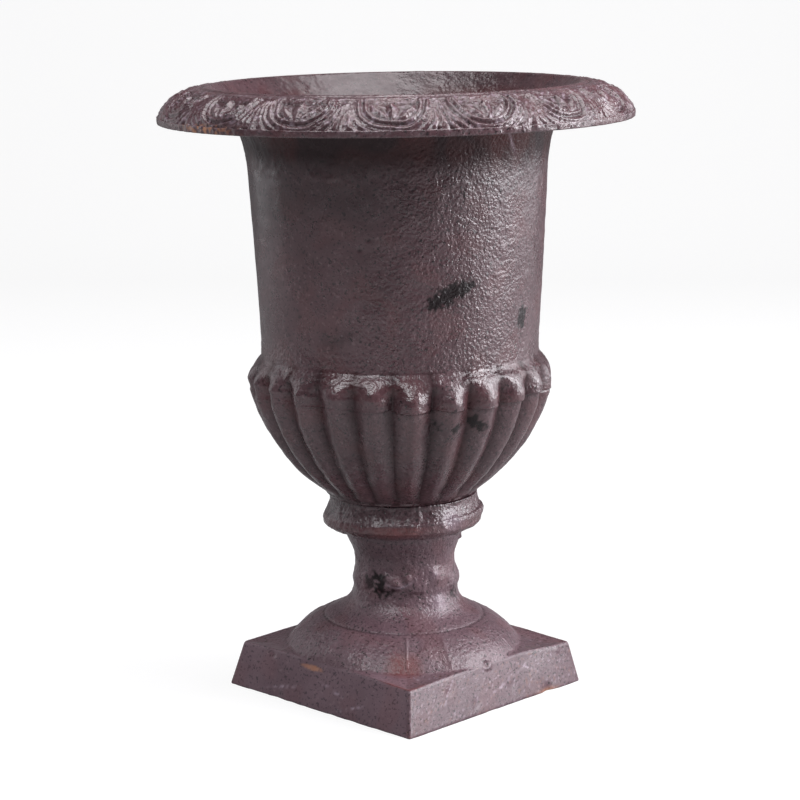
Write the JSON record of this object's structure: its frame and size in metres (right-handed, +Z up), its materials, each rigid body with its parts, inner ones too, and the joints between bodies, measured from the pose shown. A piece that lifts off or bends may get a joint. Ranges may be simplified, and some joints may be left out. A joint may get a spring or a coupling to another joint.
{
  "type": "urn planter",
  "caption": "Small cast-iron campana urn with a gadrooned bowl, egg-and-leaf rim, waisted stem and square plinth, bolted together; holds soil and a plant.",
  "frame": {"origin": "on the ground, under the middle of the rim; the plinth's own middle lies at x 3.0 mm, y 2.8 mm, because the bowl leans one degree", "axes": "+Z up; X and Y along the plinth's sides; the picture looks from between -Y and +X"},
  "size_m": [0.2304, 0.2304, 0.3016],
  "materials": {
    "bowl_iron": "sand-cast, satin purple-brown paint",
    "collar_iron": "sand-cast, satin purple-brown paint",
    "pedestal_iron": "sand-cast, satin purple-brown paint, small worn spots",
    "bolt_steel": "zinc plated, dulled",
    "washer_steel": "zinc plated, dulled",
    "spring_steel": "dark spring steel",
    "nut_steel": "zinc plated, dulled"
  },
  "bodies": {
    "root": {"urn_bowl": "bowl_iron", "collar": "collar_iron", "pedestal": "pedestal_iron", "tie_bolt": "bolt_steel", "floor_washer": "washer_steel", "nut_washer": "washer_steel", "lock_washer": "spring_steel", "hex_nut": "nut_steel"}
  },
  "joints": []
}
